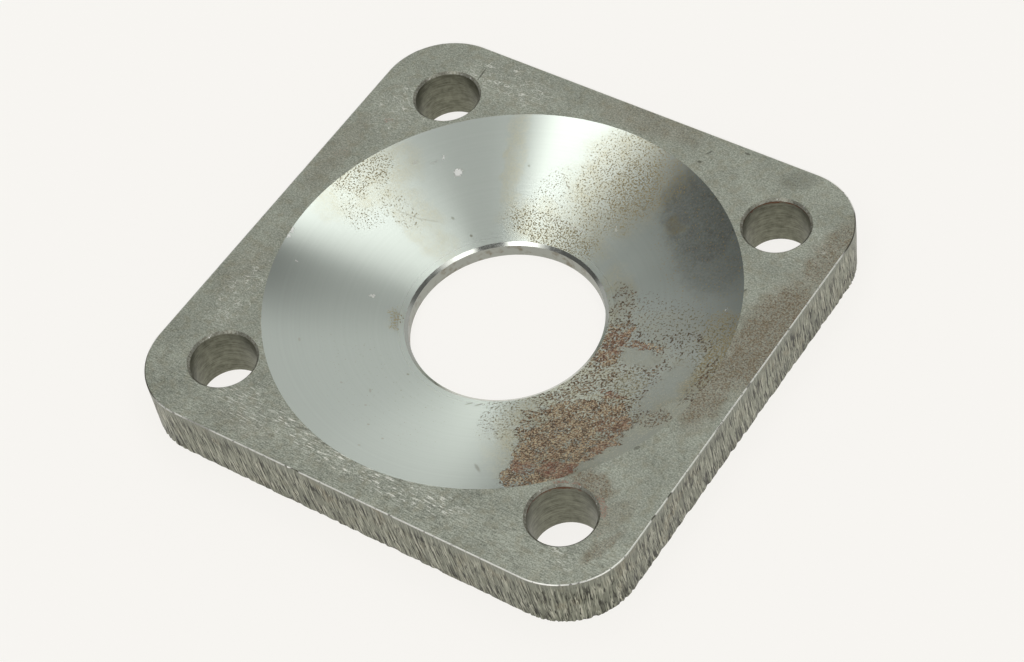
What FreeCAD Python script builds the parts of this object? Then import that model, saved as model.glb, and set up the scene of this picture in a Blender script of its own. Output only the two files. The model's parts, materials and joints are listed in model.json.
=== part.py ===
import FreeCAD
import Part

from math import cos, pi, sin
import os

# Square steel flange, laser cut from 10 mm plate, with a turned conical seat.
# Millimetres. Z = 0 is the flat underside, the Z axis runs up through the bore,
# and the plate's sides are parallel to X and Y.

# Plate
SIDE_LENGTH = 90.0
THICKNESS = 10.0
CORNER_RADIUS = 12.0
TOP_EDGE_BREAK = 0.2

# Laser cut sides. The jet leaves a smooth band under the top face. Below it the
# cut is rough, with drag lines that deepen and trail further behind the beam
# the lower they get.
SMOOTH_BAND_HEIGHT = 3.3
ROUGH_LEDGE_WIDTH = 0.03
DRAG_LINE_PITCH = 1.2
DRAG_LINE_DEPTH = 0.2
DRAG_LAG_LENGTH = 2.2
KERF_LEAN_WIDTH = 0.1

# Turned seat and bore
SEAT_DIAMETER = 78.2
SEAT_DEPTH = 7.1
BORE_DIAMETER = 32.4
BORE_LIP_WIDTH = 0.6
BORE_LIP_DEPTH = 0.4
BORE_FOOT_BREAK = 0.2

# Bolt holes
HOLE_SPACING_X = 64.8
HOLE_SPACING_Y = 64.8
HOLE_DIAMETER = 11.0
HOLE_TOP_BREAK = 0.4
HOLE_FOOT_BREAK = 0.25

# How far the cutting shapes stand past the faces that they cut
CUT_OVERRUN_LENGTH = 1.0

# Heights of the drag lines' kinks, as shares of the rough zone from its top down
DRAG_STATIONS = (0.0, 0.5, 1.0)
# Neighbouring drag lines differ in depth by up to this share of it
DRAG_UNEVENNESS = 0.35
# Step between neighbours' depths, in radians: the golden angle never repeats
GOLDEN_ANGLE = pi * (3 - 5 ** 0.5)

SIDE_FLAT = SIDE_LENGTH - 2 * CORNER_RADIUS
QUARTER_TURN = SIDE_FLAT + CORNER_RADIUS * pi / 2
UP = FreeCAD.Vector(0, 0, 1)
CENTRE = FreeCAD.Vector(0, 0, 0)


def lean(z):
    """How far the side stands in from the nominal outline at height z."""
    return KERF_LEAN_WIDTH * (THICKNESS - z) / THICKNESS


def on_side(travel, inset, z):
    """Point of the side wall after a travel along the outline, seen from above anticlockwise.

    Travel 0 is the start of the flat on the +X side. Inset is measured square
    to the nominal outline.
    """
    turns, rest = divmod(travel, QUARTER_TURN)
    half_flat = SIDE_FLAT / 2
    if rest < SIDE_FLAT:
        point = FreeCAD.Vector(SIDE_LENGTH / 2 - inset, rest - half_flat, z)
    else:
        angle = (rest - SIDE_FLAT) / CORNER_RADIUS
        reach = CORNER_RADIUS - inset
        point = FreeCAD.Vector(half_flat + reach * cos(angle), half_flat + reach * sin(angle), z)
    return FreeCAD.Rotation(UP, 90 * turns).multVec(point)


def outline(inset, z):
    """Closed outline of the plate at height z: four flats joined by four arcs."""
    edges = []
    for quarter in range(4):
        start = quarter * QUARTER_TURN
        bend = start + SIDE_FLAT
        end = start + QUARTER_TURN
        edges.append(Part.LineSegment(on_side(start, inset, z), on_side(bend, inset, z)).toShape())
        middle = on_side((bend + end) / 2, inset, z)
        edges.append(Part.Arc(on_side(bend, inset, z), middle, on_side(end, inset, z)).toShape())
    return Part.Wire(edges)


def smooth_band():
    """The upper part of the plate, where the cut is smooth, with its top edge broken."""
    band_foot = THICKNESS - SMOOTH_BAND_HEIGHT
    band = Part.makeLoft([outline(lean(band_foot), band_foot), outline(0, THICKNESS)], True, True)
    top_edges = [edge for edge in band.Edges if edge.BoundBox.ZMin > THICKNESS - TOP_EDGE_BREAK]
    return band.makeChamfer(TOP_EDGE_BREAK, top_edges)


def drag_row(station):
    """Points round the rough zone at one station: ridges and grooves in turn."""
    lines = 4 * round(QUARTER_TURN / DRAG_LINE_PITCH)
    half_pitch = 4 * QUARTER_TURN / lines / 2
    z = (THICKNESS - SMOOTH_BAND_HEIGHT) * (1 - station)
    trail = DRAG_LAG_LENGTH * station * (1 + station) / 2
    row = []
    for count in range(2 * lines):
        inset = lean(z) + ROUGH_LEDGE_WIDTH
        if count % 2 == 0:
            swing = 1 - DRAG_UNEVENNESS * (1 - sin(count * GOLDEN_ANGLE))
            inset += DRAG_LINE_DEPTH * swing * (1 + 2 * station) / 3
        travel = (count * half_pitch + trail) % (4 * QUARTER_TURN)
        row.append(on_side(travel, inset, z))
    return row


def rough_zone():
    """The lower part of the plate, its sides folded into slanting drag lines."""
    rows = [drag_row(station) for station in DRAG_STATIONS]
    faces = [Part.Face(Part.makePolygon(row + row[:1])) for row in (rows[0], rows[-1])]
    for above, below in zip(rows, rows[1:]):
        for here in range(len(above)):
            after = (here + 1) % len(above)
            for corners in (
                (above[here], below[here], below[after]),
                (above[here], below[after], above[after]),
            ):
                faces.append(Part.Face(Part.makePolygon(corners + corners[:1])))
    return Part.makeSolid(Part.makeShell(faces))


def turned(profile, centre):
    """Solid of revolution about a vertical axis through centre, from (radius, height) points."""
    points = [FreeCAD.Vector(radius, 0, z) for radius, z in profile]
    face = Part.Face(Part.makePolygon(points + points[:1]))
    solid = face.revolve(CENTRE, UP, 360)
    solid.translate(centre)
    return solid


def seat_cutter():
    """What the lathe takes out: the conical seat, the bevelled lip and the straight bore."""
    seat_radius = SEAT_DIAMETER / 2
    bore_radius = BORE_DIAMETER / 2
    lip_radius = bore_radius + BORE_LIP_WIDTH
    lip_top = THICKNESS - SEAT_DEPTH
    overrun = CUT_OVERRUN_LENGTH
    seat_run = (seat_radius - lip_radius) / SEAT_DEPTH
    return turned([
        (0, -overrun),
        (bore_radius + BORE_FOOT_BREAK + overrun, -overrun),
        (bore_radius, BORE_FOOT_BREAK),
        (bore_radius, lip_top - BORE_LIP_DEPTH),
        (lip_radius, lip_top),
        (seat_radius, THICKNESS),
        (seat_radius + seat_run * overrun, THICKNESS + overrun),
        (0, THICKNESS + overrun),
    ], CENTRE)


def hole_cutter(centre):
    """One drilled bolt hole with its rim broken above and below."""
    radius = HOLE_DIAMETER / 2
    overrun = CUT_OVERRUN_LENGTH
    return turned([
        (0, -overrun),
        (radius + HOLE_FOOT_BREAK + overrun, -overrun),
        (radius, HOLE_FOOT_BREAK),
        (radius, THICKNESS - HOLE_TOP_BREAK),
        (radius + HOLE_TOP_BREAK + overrun, THICKNESS + overrun),
        (0, THICKNESS + overrun),
    ], centre)


def flange():
    """The finished flange, one solid."""
    cutters = [seat_cutter()]
    for side_x in (-1, 1):
        for side_y in (-1, 1):
            centre = FreeCAD.Vector(side_x * HOLE_SPACING_X / 2, side_y * HOLE_SPACING_Y / 2, 0)
            cutters.append(hole_cutter(centre))
    return smooth_band().fuse(rough_zone()).cut(cutters)


os.makedirs("parts", exist_ok=True)
body = flange()
assert body.isValid() and len(body.Solids) == 1, "the flange is not one valid solid"
body.Solids[0].exportStep("parts/flange.step")
print("flange: %d faces, %.0f cubic mm" % (len(body.Faces), body.Volume))
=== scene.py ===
"""The looks of a laser cut steel flange: mill plate, turned seat, drilled holes and cut sides.

Sizes in the classes are millimetres, as on a drawing, and become metres where a mesh is made.
"""

from __future__ import annotations

import json
import logging
import math
from dataclasses import dataclass
from enum import Enum
from typing import Callable

import bmesh
import bpy
from mathutils import Matrix, Vector, noise


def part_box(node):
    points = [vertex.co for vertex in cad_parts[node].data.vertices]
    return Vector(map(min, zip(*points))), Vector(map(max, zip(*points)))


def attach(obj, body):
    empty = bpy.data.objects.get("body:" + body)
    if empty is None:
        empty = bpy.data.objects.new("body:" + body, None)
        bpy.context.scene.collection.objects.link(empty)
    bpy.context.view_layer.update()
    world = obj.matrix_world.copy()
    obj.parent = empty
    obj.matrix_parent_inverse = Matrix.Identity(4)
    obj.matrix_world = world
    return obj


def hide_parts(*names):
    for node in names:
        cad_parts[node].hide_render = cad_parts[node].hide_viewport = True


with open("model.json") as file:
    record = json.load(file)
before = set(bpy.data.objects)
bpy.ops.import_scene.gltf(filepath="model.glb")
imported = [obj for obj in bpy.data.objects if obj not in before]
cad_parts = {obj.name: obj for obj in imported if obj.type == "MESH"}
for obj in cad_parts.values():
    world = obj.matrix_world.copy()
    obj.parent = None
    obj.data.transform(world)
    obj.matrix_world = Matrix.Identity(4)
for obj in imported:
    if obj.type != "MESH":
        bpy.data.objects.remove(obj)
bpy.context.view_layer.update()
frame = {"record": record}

MM = 0.001
# Height of a mark's oval, in metres: so large that the mark is the same at every depth.
ENDLESS = 1000
# Metres that a pattern moves for each unit of its seed, so that no two patterns line up.
SEED_STEP = (0.37, 0.53, 0.11)
# A speck lies where its noise, plus the cover times its weight, is above the level.
COVER_WEIGHT = 0.6
SPECK_LEVEL = 0.85
# Share of a hairline's width that is drawn at full strength.
HAIRLINE_CORE = 0.3
# From the first X to the second, in millimetres, rust comes in on the rims and walls of the holes.
RUSTY_FROM_X = 20
RUSTY_ALL_X = 26
NODE = "flange"
BODY = "root"

log = logging.getLogger("flange")


def linear(code: str) -> tuple[float, float, float, float]:
    """Turns an sRGB hex colour into the linear colour that a socket takes.

    Args:
        code: Six hex digits, such as "8A8B82".

    Returns:
        Red, green, blue and alpha.
    """
    channels = []
    for start in (0, 2, 4):
        value = int(code[start : start + 2], 16) / 255
        channels.append(value / 12.92 if value <= 0.04045 else ((value + 0.055) / 1.055) ** 2.4)
    return (*channels, 1.0)


def per_mm(size_mm: float) -> float:
    """Scale of a pattern on coordinates in metres whose features measure size_mm."""
    return 1 / (size_mm * MM)


class Zone(Enum):
    """The differently made surfaces of the flange, in the order of its material slots."""

    PLATE_FACE = 0
    SEAT = 1
    LIP = 2
    LAND = 3
    LASER_SIDE = 4
    TOP_EDGE = 5
    HOLE_WALL = 6
    HOLE_RIM = 7


Source = bpy.types.Node | bpy.types.NodeSocket | float


class Graph:
    """The node tree of a material or of the world, filled node by node."""

    def __init__(self, tree: bpy.types.NodeTree) -> None:
        """Starts from an empty tree.

        Args:
            tree: The tree to fill. What it holds is removed.
        """
        self.tree = tree
        self.tree.nodes.clear()

    def add(self, kind: str, inputs: dict | None = None, **settings: object) -> bpy.types.Node:
        """Adds one node.

        Args:
            kind: The node's type without its "ShaderNode" prefix.
            inputs: Socket name or number to a value, to the output that feeds it, or to a
                node whose first output does.
            **settings: Properties of the node.

        Returns:
            The new node.
        """
        node = self.tree.nodes.new("ShaderNode" + kind)
        for name, value in settings.items():
            setattr(node, name, value)
        for socket, value in (inputs or {}).items():
            if isinstance(value, bpy.types.Node):
                value = value.outputs[0]
            if isinstance(value, bpy.types.NodeSocket):
                self.tree.links.new(value, node.inputs[socket])
            else:
                node.inputs[socket].default_value = value
        return node


@dataclass(frozen=True)
class FlangeSizes:
    """Sizes of the flange, read from the frame where it states them."""

    side: float
    thickness: float
    bore_radius: float
    hole_radius: float
    spacing_x: float
    spacing_y: float
    corner_radius: float = 12.0
    top_break: float = 0.2
    seat_radius: float = 39.1
    seat_depth: float = 7.1
    lip_width: float = 0.6
    lip_depth: float = 0.4
    foot_break: float = 0.2
    rim_break: float = 0.4
    hole_foot_break: float = 0.25

    @classmethod
    def from_frame(cls) -> "FlangeSizes":
        """Reads the plate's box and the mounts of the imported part.

        Returns:
            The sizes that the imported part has.
        """
        low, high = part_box(NODE)
        mounts = {mount["name"]: mount["dims"] for mount in frame["record"]["mounts"]}
        return cls(
            side=(high.x - low.x) / MM,
            thickness=(high.z - low.z) / MM,
            bore_radius=mounts["bore"]["r_mm"],
            hole_radius=mounts["bolts"]["hole_r_mm"],
            spacing_x=mounts["bolts"]["spacing_x_mm"],
            spacing_y=mounts["bolts"]["spacing_y_mm"],
        )

    @property
    def lip_radius(self) -> float:
        """Outer radius of the bevelled lip."""
        return self.bore_radius + self.lip_width

    @property
    def lip_top(self) -> float:
        """Height of the line where the seat meets the lip."""
        return self.thickness - self.seat_depth

    @property
    def flat(self) -> float:
        """Length of the straight part of one side."""
        return self.side - 2 * self.corner_radius

    @property
    def quarter(self) -> float:
        """Length of the outline along one flat and one corner."""
        return self.flat + self.corner_radius * math.pi / 2

    @property
    def edge_band(self) -> float:
        """How far in from the outline the sides and their broken edge may lie."""
        return self.top_break * 1.2

    def hole_centres(self) -> list[tuple[float, float]]:
        """Finds the middles of the bolt holes.

        Returns:
            The X and Y of the four centres.
        """
        half_x = self.spacing_x / 2
        half_y = self.spacing_y / 2
        return [(sx * half_x, sy * half_y) for sx in (-1, 1) for sy in (-1, 1)]

    def outline_place(self, x: float, y: float) -> tuple[float, float, Vector]:
        """Finds where a point lies on the outline.

        Args:
            x: The point's X.
            y: The point's Y.

        Returns:
            Travel along the outline, anticlockwise from the foot of the +X flat, the distance
            inside the outline, and the outward normal there.
        """
        half = self.side / 2
        turns = 0
        while turns < 3 and not (x > 0 and -x < y <= x or x > self.flat / 2 and y > self.flat / 2):
            x, y = y, -x
            turns += 1
        half_flat = self.flat / 2
        if y <= half_flat:
            travel = max(y, -half_flat) + half_flat
            inset = half - x
            normal = Vector((1, 0, 0))
            if y < -half_flat:
                angle = math.atan2(y + half_flat, x - half_flat)
                travel = self.corner_radius * angle
                normal = Vector((math.cos(angle), math.sin(angle), 0))
                inset = self.corner_radius - math.hypot(x - half_flat, y + half_flat)
        else:
            angle = math.atan2(y - half_flat, x - half_flat)
            travel = self.flat + self.corner_radius * angle
            normal = Vector((math.cos(angle), math.sin(angle), 0))
            inset = self.corner_radius - math.hypot(x - half_flat, y - half_flat)
        normal = Matrix.Rotation(turns * math.pi / 2, 3, "Z") @ normal
        return (travel + turns * self.quarter) % (4 * self.quarter), inset, normal


@dataclass(frozen=True)
class Nick:
    """A dent in the top edge."""

    travel: float
    length: float
    depth: float


@dataclass(frozen=True)
class DragLines:
    """A family of drag lines: soft grooves side by side that run down the cut.

    The pitch is from one groove to the next, and the length how far down the cut one holds its
    course. The upper share is what the smooth upper band has of the depth, a sharpness over 1
    makes the grooves narrower, and the layer picks the slice of the noise that they follow.
    """

    pitch: float
    length: float
    depth: float
    upper: float
    sharpness: float
    layer: float

    def cut(self, along: float, z: float, ramp: float) -> float:
        """Depth of the grooves at a point.

        Args:
            along: Place along the side, less the trail of the beam.
            z: Height above the underside.
            ramp: 0 in the smooth upper band, 1 at the foot.

        Returns:
            The depth in millimetres.
        """
        # One wave of the noise takes two of its cells.
        wave = noise.noise(Vector((along / self.pitch, z / self.length, self.layer)) * 2)
        share = self.upper + (1 - self.upper) * ramp
        return self.depth * share * (0.5 + 0.5 * wave) ** self.sharpness


@dataclass(frozen=True)
class Scars:
    """Short scars in the cut: each lies where a noise is above the threshold."""

    pitch: float
    length: float
    depth: float
    threshold: float
    rise: float
    layer: float

    def share(self, along: float, z: float) -> float:
        """Depth at a point as a share of the full one.

        Args:
            along: Place along the side, less the trail of the beam.
            z: Height above the underside.

        Returns:
            0 beside a scar, 1 in its middle.
        """
        level = noise.noise(Vector((along / self.pitch, z / self.length, self.layer)))
        return min(max(level - self.threshold, 0.0) / self.rise, 1.0)


@dataclass(frozen=True)
class CutRelief:
    """What the laser leaves on the sides: fine drag lines that trail and deepen to the foot.

    The drag lines are shallow over the smooth share of the way down and deepen over the rough
    share. They trail behind the beam, evenly for the steady share of the trail and faster and
    faster for the rest. The notches make the foot ragged, up to their height.
    """

    sizes: FlangeSizes
    kerf_lean: float = 0.1
    ridges: DragLines = DragLines(0.85, 9.0, depth=0.13, upper=0.12, sharpness=1.5, layer=3.1)
    streaks: DragLines = DragLines(0.45, 6.0, depth=0.08, upper=0.3, sharpness=1.0, layer=8.7)
    pits: Scars = Scars(0.8 / 1.7, 1.9, depth=0.08, threshold=0.18, rise=0.5, layer=21.3)
    notches: Scars = Scars(0.5, 6.0, depth=0.16, threshold=0.05, rise=0.3, layer=33.7)
    notch_height: float = 3.0
    smooth_share: float = 0.15
    rough_share: float = 0.7
    trail: float = 1.2
    steady_share: float = 0.45
    nicks: tuple[Nick, ...] = (
        Nick(travel=278.5, length=1.5, depth=0.14),
        Nick(travel=6.7, length=0.9, depth=0.08),
        Nick(travel=11.3, length=1.0, depth=0.08),
        Nick(travel=71.5, length=5.0, depth=0.06),
    )

    def lag(self, normal: Vector, drop: float) -> float:
        """How far a drag line has trailed behind the beam, which slows down round a corner.

        Args:
            normal: The side's outward normal.
            drop: Share of the way from the top face to the foot.

        Returns:
            The trail in millimetres along the outline.
        """
        across = normal.x * normal.x
        corner = 4 * across * (1 - across)
        grown = drop * (self.steady_share + (1 - self.steady_share) * drop)
        return self.trail * (1 - corner) * grown

    def depth(self, travel: float, normal: Vector, z: float) -> float:
        """Depth of the cut's relief at a point of the side.

        Args:
            travel: Place along the outline.
            normal: Outward normal there.
            z: Height above the underside.

        Returns:
            Depth in millimetres under the nominal side, the lean of the kerf left out.
        """
        drop = 1 - z / self.sizes.thickness
        along = travel - self.lag(normal, drop)
        ramp = min(max((drop - self.smooth_share) / self.rough_share, 0.0), 1.0)
        foot = max(1 - z / self.notch_height, 0.0)
        return (
            self.notches.depth * (self.notches.share(along, z) * foot)
            + self.ridges.cut(along, z, ramp)
            + self.streaks.cut(along, z, ramp)
            + self.pits.depth * ramp * self.pits.share(along, z)
        )

    def deepest(self) -> float:
        """The depth that counts as a full groove."""
        return self.ridges.depth + self.streaks.depth


class Hand:
    """Short forms of modelling by hand: selecting by place and working on the selection."""

    @staticmethod
    def edit(piece: bpy.types.Object) -> None:
        """Makes one object active, alone, and opens it for editing.

        Args:
            piece: The object.
        """
        if bpy.context.mode != "OBJECT":
            bpy.ops.object.mode_set(mode="OBJECT")
        bpy.ops.object.select_all(action="DESELECT")
        piece.select_set(True)
        bpy.context.view_layer.objects.active = piece
        bpy.ops.object.mode_set(mode="EDIT")

    @staticmethod
    def pick_edges(piece: bpy.types.Object, wanted: Callable[[Vector, Vector], bool]) -> None:
        """Selects the edges whose two ends pass a test.

        Args:
            piece: The object being edited.
            wanted: Told the two ends in millimetres, says whether the edge is selected.
        """
        bpy.ops.mesh.select_mode(type="EDGE")
        bpy.ops.mesh.select_all(action="DESELECT")
        mesh = bmesh.from_edit_mesh(piece.data)
        for edge in mesh.edges:
            start, end = (vert.co / MM for vert in edge.verts)
            if wanted(start, end):
                edge.select = True
        bmesh.update_edit_mesh(piece.data)

    @staticmethod
    def leave() -> None:
        """Closes the edit."""
        bpy.ops.object.mode_set(mode="OBJECT")


@dataclass
class FlangeBody:
    """The flange itself: blank, cuts, cut sides and the places of its finishes.

    A column is one step along the sides and the rows go up them. The overrun is how far a
    cutting shape sticks out, slack and flush are how far off a point may lie, the flat slack is
    how much shorter than a flat an edge along it may be, and the bands are how far in from the
    outline a face or an edge still counts as the sides'. A nick dents the side down to its drop
    under the top face, and lowers what lies above its sink.
    """

    sizes: FlangeSizes
    relief: CutRelief
    column: float = 0.2
    rows: int = 26
    seat_steps: int = 288
    hole_steps: int = 96
    overrun: float = 1.0
    slack: float = 0.01
    flush: float = 0.001
    flat_slack: float = 1.0
    side_band: float = 0.4
    rim_band: float = 1.0
    nick_drop: float = 0.8
    nick_sink: float = 0.3
    level_normal: float = 0.999
    seat_normal: float = 0.9
    smooth_deg: float = 9.0

    def build(self) -> bpy.types.Object:
        """Models the flange.

        Returns:
            The finished object, one closed mesh.
        """
        body = self.blank()
        self.cut(body, self.seat_tool())
        for centre in self.sizes.hole_centres():
            self.cut(body, self.drill(centre))
        self.divide_sides(body)
        self.shape_sides(body)
        self.finish_faces(body)
        return body

    def blank(self) -> bpy.types.Object:
        """The plate as a prism with round corners and a broken top edge.

        Returns:
            The blank.
        """
        sizes = self.sizes
        bpy.ops.object.select_all(action="DESELECT")
        bpy.ops.mesh.primitive_plane_add(size=sizes.side * MM, location=(0, 0, 0))
        body = bpy.context.object
        body.name = "flange_body"
        body.data.name = "flange_body"
        Hand.edit(body)
        bpy.ops.mesh.select_all(action="SELECT")
        arc_steps = round(sizes.corner_radius * math.pi / 2 / self.column)
        bpy.ops.mesh.bevel(
            offset=sizes.corner_radius * MM, segments=arc_steps, affect="VERTICES", clamp_overlap=False
        )
        bpy.ops.mesh.select_all(action="SELECT")
        bpy.ops.mesh.extrude_region_move(
            TRANSFORM_OT_translate={"value": (0, 0, sizes.thickness * MM)}
        )
        bpy.ops.mesh.select_all(action="SELECT")
        bpy.ops.mesh.normals_make_consistent(inside=False)
        top = sizes.thickness - self.slack
        Hand.pick_edges(body, lambda start, end: start.z > top and end.z > top)
        bpy.ops.mesh.bevel(offset=sizes.top_break * MM, segments=4, affect="EDGES")
        Hand.leave()
        return body

    def lathe(self, profile: list[tuple[float, float]], steps: int) -> bpy.types.Object:
        """Turns a profile about the Z axis into a closed cutting shape.

        Args:
            profile: Points as radius and height, from the axis round to the axis.
            steps: Steps of the full turn.

        Returns:
            The cutting shape.
        """
        bpy.ops.object.select_all(action="DESELECT")
        bpy.ops.mesh.primitive_plane_add(size=self.overrun * MM, location=(0, 0, 0))
        tool = bpy.context.object
        Hand.edit(tool)
        bpy.ops.mesh.select_mode(type="VERT")
        bpy.ops.mesh.select_all(action="SELECT")
        bpy.ops.mesh.merge(type="CENTER")
        place = Vector((0, 0, 0))
        for index, (radius, height) in enumerate(profile):
            step = Vector((radius, 0, height)) * MM - place
            place += step
            if index == 0:
                bpy.ops.transform.translate(value=step)
            else:
                bpy.ops.mesh.extrude_vertices_move(TRANSFORM_OT_translate={"value": step})
        bpy.ops.mesh.select_all(action="SELECT")
        bpy.ops.mesh.spin(steps=steps, angle=2 * math.pi, center=(0, 0, 0), axis=(0, 0, 1))
        bpy.ops.mesh.select_all(action="SELECT")
        bpy.ops.mesh.remove_doubles(threshold=self.flush * MM)
        bpy.ops.mesh.normals_make_consistent(inside=False)
        Hand.leave()
        return tool

    def seat_tool(self) -> bpy.types.Object:
        """What the lathe takes out: seat, lip and bore in one shape.

        Returns:
            The cutting shape.
        """
        sizes = self.sizes
        over = self.overrun
        slope = (sizes.seat_radius - sizes.lip_radius) / sizes.seat_depth
        return self.lathe([
            (0, -over),
            (sizes.bore_radius + sizes.foot_break + over, -over),
            (sizes.bore_radius, sizes.foot_break),
            (sizes.bore_radius, sizes.lip_top - sizes.lip_depth),
            (sizes.lip_radius, sizes.lip_top),
            (sizes.seat_radius + slope * over, sizes.thickness + over),
            (0, sizes.thickness + over),
        ], self.seat_steps)

    def drill(self, centre: tuple[float, float]) -> bpy.types.Object:
        """The drill that makes one bolt hole and breaks its rims.

        Args:
            centre: The hole's centre.

        Returns:
            The cutting shape, in its place.
        """
        sizes = self.sizes
        over = self.overrun
        radius = sizes.hole_radius
        tool = self.lathe([
            (0, -over),
            (radius + sizes.hole_foot_break + over, -over),
            (radius, sizes.hole_foot_break),
            (radius, sizes.thickness - sizes.rim_break),
            (radius + sizes.rim_break + over, sizes.thickness + over),
            (0, sizes.thickness + over),
        ], self.hole_steps)
        Hand.edit(tool)
        bpy.ops.mesh.select_all(action="SELECT")
        bpy.ops.transform.translate(value=(centre[0] * MM, centre[1] * MM, 0))
        Hand.leave()
        return tool

    def cut(self, body: bpy.types.Object, tool: bpy.types.Object) -> None:
        """Takes a cutting shape out of the body.

        Args:
            body: The plate.
            tool: The cutting shape, which is used up.
        """
        bpy.ops.object.select_all(action="DESELECT")
        body.select_set(True)
        bpy.context.view_layer.objects.active = body
        modifier = body.modifiers.new("cut", "BOOLEAN")
        modifier.operation = "DIFFERENCE"
        modifier.solver = "EXACT"
        modifier.object = tool
        bpy.ops.object.modifier_apply(modifier="cut")
        bpy.data.objects.remove(tool, do_unlink=True)

    def divide_sides(self, body: bpy.types.Object) -> None:
        """Divides the sides into a fine net of rows and columns.

        Args:
            body: The plate.
        """
        sizes = self.sizes
        edge_foot = sizes.thickness - sizes.top_break
        half = sizes.side / 2

        def on_outline(point: Vector) -> bool:
            """Says whether a point lies on the sides or their broken edge."""
            return sizes.outline_place(point.x, point.y)[1] < sizes.edge_band

        def upright(start: Vector, end: Vector) -> bool:
            """Says whether an edge runs up a side from the foot."""
            whole = abs(start.z - end.z) > edge_foot - self.slack
            return whole and on_outline(start) and on_outline(end)

        def along_flat(start: Vector, end: Vector) -> bool:
            """Says whether an edge runs along a straight part of a side."""
            whole = (start - end).length > sizes.flat - self.flat_slack
            return whole and max(abs(start.x), abs(start.y)) > half - sizes.edge_band

        Hand.edit(body)
        Hand.pick_edges(body, upright)
        bpy.ops.mesh.subdivide(number_cuts=self.rows - 1)
        Hand.pick_edges(body, along_flat)
        bpy.ops.mesh.subdivide(number_cuts=round(sizes.flat / self.column) - 1)
        Hand.leave()

    def shape_sides(self, body: bpy.types.Object) -> None:
        """Cuts the laser's relief and the nicks into the sides, and maps them for the finish.

        The map's U is the place along the drag line's own top end and V the height, both in
        millimetres. The attribute "groove" holds each point's depth as a share of a full one.

        Args:
            body: The plate.
        """
        sizes = self.sizes
        relief = self.relief
        edge_foot = sizes.thickness - sizes.top_break
        groove = body.data.attributes.new("groove", "FLOAT", "POINT")
        places: dict[int, tuple[float, float]] = {}
        for vert in body.data.vertices:
            x, y, z = vert.co / MM
            travel, inset, normal = sizes.outline_place(x, y)
            if inset > sizes.edge_band:
                continue
            drop = 1 - z / sizes.thickness
            places[vert.index] = (travel - relief.lag(normal, drop), z)
            depth = 0.0
            if z < edge_foot + self.slack:
                depth = relief.depth(travel, normal, z)
                groove.data[vert.index].value = depth / relief.deepest()
                depth += relief.kerf_lean * drop
            for nick in relief.nicks:
                reach = abs(travel - nick.travel) / (nick.length / 2)
                if reach < 1 and z > sizes.thickness - self.nick_drop:
                    dent = nick.depth * (1 - reach * reach)
                    depth += dent
                    if z > sizes.thickness - self.nick_sink:
                        vert.co.z -= dent * MM
            vert.co -= normal * depth * MM
        self.map_sides(body, places)

    def map_sides(self, body: bpy.types.Object, places: dict[int, tuple[float, float]]) -> None:
        """Writes the side map that the laser cut finish reads.

        Args:
            body: The plate.
            places: Vertex to its travel along the outline and its height.
        """
        whole = 4 * self.sizes.quarter
        layer = body.data.uv_layers.new(name="cut")
        for face in body.data.polygons:
            if not all(index in places for index in face.vertices):
                continue
            travels = [places[index][0] for index in face.vertices]
            wraps = max(travels) - min(travels) > whole / 2
            for loop, index in zip(face.loop_indices, face.vertices):
                travel, height = places[index]
                if wraps and travel < whole / 2:
                    travel += whole
                layer.data[loop].uv = (travel, height)

    def zone_of(self, centre: Vector, normal: Vector) -> Zone:
        """Says which finish a face has.

        Args:
            centre: The face's middle in millimetres.
            normal: The face's normal.

        Returns:
            The zone.
        """
        sizes = self.sizes
        radius = math.hypot(centre.x, centre.y)
        inset = sizes.outline_place(centre.x, centre.y)[1]
        if inset < self.side_band and abs(normal.z) < self.level_normal:
            if centre.z > sizes.thickness - sizes.top_break:
                return Zone.TOP_EDGE
            return Zone.LASER_SIDE
        if abs(normal.z) > self.level_normal:
            return Zone.PLATE_FACE
        if radius < sizes.bore_radius + self.slack:
            return Zone.LAND
        if radius < sizes.lip_radius:
            return Zone.LIP
        if radius < sizes.seat_radius and normal.z > self.seat_normal:
            return Zone.SEAT
        if centre.z > sizes.thickness - sizes.rim_break:
            return Zone.HOLE_RIM
        return Zone.HOLE_WALL

    def finish_faces(self, body: bpy.types.Object) -> None:
        """Shades the faces, keeps the sharp edges and gives each face its finish.

        Args:
            body: The plate.
        """
        for finish in finishes(self.sizes).values():
            body.data.materials.append(finish.make())
        for face in body.data.polygons:
            face.material_index = self.zone_of(face.center / MM, face.normal).value
        bpy.ops.object.select_all(action="DESELECT")
        body.select_set(True)
        bpy.context.view_layer.objects.active = body
        bpy.ops.object.shade_smooth_by_angle(angle=math.radians(self.smooth_deg))
        Hand.edit(body)
        top = self.sizes.thickness - self.flush

        def rough(start: Vector, end: Vector) -> bool:
            """Says whether an edge lies within the cut sides or their round top edge."""
            inside = min(start.z, end.z) < top and max(start.z, end.z) > self.slack
            return inside and self.sizes.outline_place(start.x, start.y)[1] < self.rim_band

        Hand.pick_edges(body, rough)
        bpy.ops.mesh.mark_sharp(clear=True)
        Hand.leave()


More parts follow.
